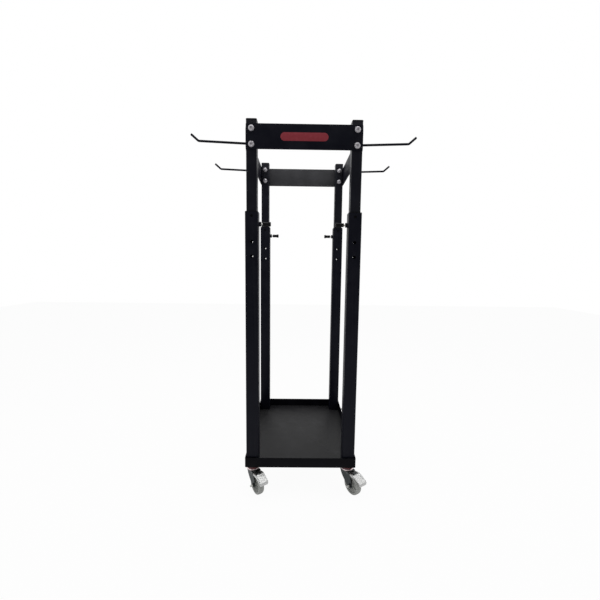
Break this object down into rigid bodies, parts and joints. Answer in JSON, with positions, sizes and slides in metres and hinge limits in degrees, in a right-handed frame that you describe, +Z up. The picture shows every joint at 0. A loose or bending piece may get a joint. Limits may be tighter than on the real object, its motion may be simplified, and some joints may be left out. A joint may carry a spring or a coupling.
{
  "type": "mat storage cart",
  "caption": "Wheeled mat storage cart with a lipped steel tray, telescopic corner posts joined by top plates, side hooks for mats and braked swivel castors.",
  "frame": {"origin": "on the floor, under the middle of the tray", "axes": "+Z up, -Y towards the front of the cart, +X to the right seen from the front"},
  "size_m": [0.8924, 0.7074, 1.46],
  "materials": {
    "black_powder_coat": "satin powder coat",
    "bright_zinc": "bright zinc plate",
    "grey_zinc": "dull grey zinc plate",
    "black_plastic": "fine moulded texture",
    "grey_tyre": "non-marking thermoplastic tread"
  },
  "bodies": {
    "base": {"base_tray": "black_powder_coat", "post_front_left": "black_powder_coat", "post_front_right": "black_powder_coat", "post_back_left": "black_powder_coat", "post_back_right": "black_powder_coat", "guide_bush_front_left": "black_plastic", "guide_bush_front_right": "black_plastic", "guide_bush_back_left": "black_plastic", "guide_bush_back_right": "black_plastic", "castor_head_front_left": "grey_zinc", "castor_head_front_right": "grey_zinc", "castor_head_back_left": "grey_zinc", "castor_head_back_right": "grey_zinc"},
    "upper_frame": {"slide_tube_front_left": "black_powder_coat", "slide_tube_front_right": "black_powder_coat", "slide_tube_back_left": "black_powder_coat", "slide_tube_back_right": "black_powder_coat", "post_cap_front_left": "black_plastic", "post_cap_front_right": "black_plastic", "post_cap_back_left": "black_plastic", "post_cap_back_right": "black_plastic", "front_plate": "black_powder_coat", "back_plate": "black_powder_coat", "side_plate_left": "black_powder_coat", "side_plate_right": "black_powder_coat", "hook_front_left": "black_powder_coat", "hook_front_right": "black_powder_coat", "hook_back_left": "black_powder_coat", "hook_back_right": "black_powder_coat", "plate_bolt_front_left_lower": "bright_zinc", "plate_bolt_front_left_upper": "bright_zinc", "plate_bolt_front_right_lower": "bright_zinc", "plate_bolt_front_right_upper": "bright_zinc", "plate_bolt_back_left_lower": "bright_zinc", "plate_bolt_back_left_upper": "bright_zinc", "plate_bolt_back_right_lower": "bright_zinc", "plate_bolt_back_right_upper": "bright_zinc"},
    "plunger_front_left": {"lock_plunger_front_left": "black_plastic"},
    "plunger_front_right": {"lock_plunger_front_right": "black_plastic"},
    "plunger_back_left": {"lock_plunger_back_left": "black_plastic"},
    "plunger_back_right": {"lock_plunger_back_right": "black_plastic"},
    "swivel_front_left": {"castor_fork_front_left": "grey_zinc", "castor_axle_front_left": "bright_zinc"},
    "swivel_front_right": {"castor_fork_front_right": "grey_zinc", "castor_axle_front_right": "bright_zinc"},
    "swivel_back_left": {"castor_fork_back_left": "grey_zinc", "castor_axle_back_left": "bright_zinc"},
    "swivel_back_right": {"castor_fork_back_right": "grey_zinc", "castor_axle_back_right": "bright_zinc"},
    "wheel_front_left": {"castor_wheel_front_left": "grey_tyre"},
    "wheel_front_right": {"castor_wheel_front_right": "grey_tyre"},
    "wheel_back_left": {"castor_wheel_back_left": "grey_tyre"},
    "wheel_back_right": {"castor_wheel_back_right": "grey_tyre"},
    "pedal_front_left": {"brake_pedal_front_left": "bright_zinc"},
    "pedal_front_right": {"brake_pedal_front_right": "bright_zinc"},
    "pedal_back_left": {"brake_pedal_back_left": "bright_zinc"},
    "pedal_back_right": {"brake_pedal_back_right": "bright_zinc"}
  },
  "joints": [
    {"name": "height_slide", "type": "slide", "parent": "base", "child": "upper_frame", "axis": [0, 0, 1], "range_m": [-0.18, 0]},
    {"name": "lock_pull_front_left", "type": "slide", "parent": "base", "child": "plunger_front_left", "axis": [1, 0, 0], "range_m": [-0.0055, 0.004]},
    {"name": "lock_pull_front_right", "type": "slide", "parent": "base", "child": "plunger_front_right", "axis": [-1, 0, 0], "range_m": [-0.0055, 0.004]},
    {"name": "lock_pull_back_left", "type": "slide", "parent": "base", "child": "plunger_back_left", "axis": [1, 0, 0], "range_m": [-0.0055, 0.004]},
    {"name": "lock_pull_back_right", "type": "slide", "parent": "base", "child": "plunger_back_right", "axis": [-1, 0, 0], "range_m": [-0.0055, 0.004]},
    {"name": "swivel_turn_front_left", "type": "hinge", "parent": "base", "child": "swivel_front_left", "pos_m": [-0.195, -0.265, 0.095], "axis": [0, 0, 1], "continuous": true},
    {"name": "swivel_turn_front_right", "type": "hinge", "parent": "base", "child": "swivel_front_right", "pos_m": [0.195, -0.265, 0.095], "axis": [0, 0, 1], "continuous": true},
    {"name": "swivel_turn_back_left", "type": "hinge", "parent": "base", "child": "swivel_back_left", "pos_m": [-0.195, 0.265, 0.095], "axis": [0, 0, 1], "continuous": true},
    {"name": "swivel_turn_back_right", "type": "hinge", "parent": "base", "child": "swivel_back_right", "pos_m": [0.195, 0.265, 0.095], "axis": [0, 0, 1], "continuous": true},
    {"name": "wheel_spin_front_left", "type": "hinge", "parent": "swivel_front_left", "child": "wheel_front_left", "pos_m": [-0.17487, -0.29485, 0.04], "axis": [0.829, 0.5592, 0], "continuous": true},
    {"name": "wheel_spin_front_right", "type": "hinge", "parent": "swivel_front_right", "child": "wheel_front_right", "pos_m": [0.21513, -0.29485, 0.04], "axis": [0.829, 0.5592, 0], "continuous": true},
    {"name": "wheel_spin_back_left", "type": "hinge", "parent": "swivel_back_left", "child": "wheel_back_left", "pos_m": [-0.17487, 0.29485, 0.04], "axis": [-0.829, 0.5592, 0], "continuous": true},
    {"name": "wheel_spin_back_right", "type": "hinge", "parent": "swivel_back_right", "child": "wheel_back_right", "pos_m": [0.21513, 0.29485, 0.04], "axis": [-0.829, 0.5592, 0], "continuous": true},
    {"name": "brake_press_front_left", "type": "hinge", "parent": "swivel_front_left", "child": "pedal_front_left", "pos_m": [-0.18695, -0.27694, 0.084], "axis": [0.829, 0.5592, 0], "range_deg": [0, 8]},
    {"name": "brake_press_front_right", "type": "hinge", "parent": "swivel_front_right", "child": "pedal_front_right", "pos_m": [0.20305, -0.27694, 0.084], "axis": [0.829, 0.5592, 0], "range_deg": [0, 8]},
    {"name": "brake_press_back_left", "type": "hinge", "parent": "swivel_back_left", "child": "pedal_back_left", "pos_m": [-0.18695, 0.27694, 0.084], "axis": [-0.829, 0.5592, 0], "range_deg": [0, 8]},
    {"name": "brake_press_back_right", "type": "hinge", "parent": "swivel_back_right", "child": "pedal_back_right", "pos_m": [0.20305, 0.27694, 0.084], "axis": [-0.829, 0.5592, 0], "range_deg": [0, 8]}
  ]
}
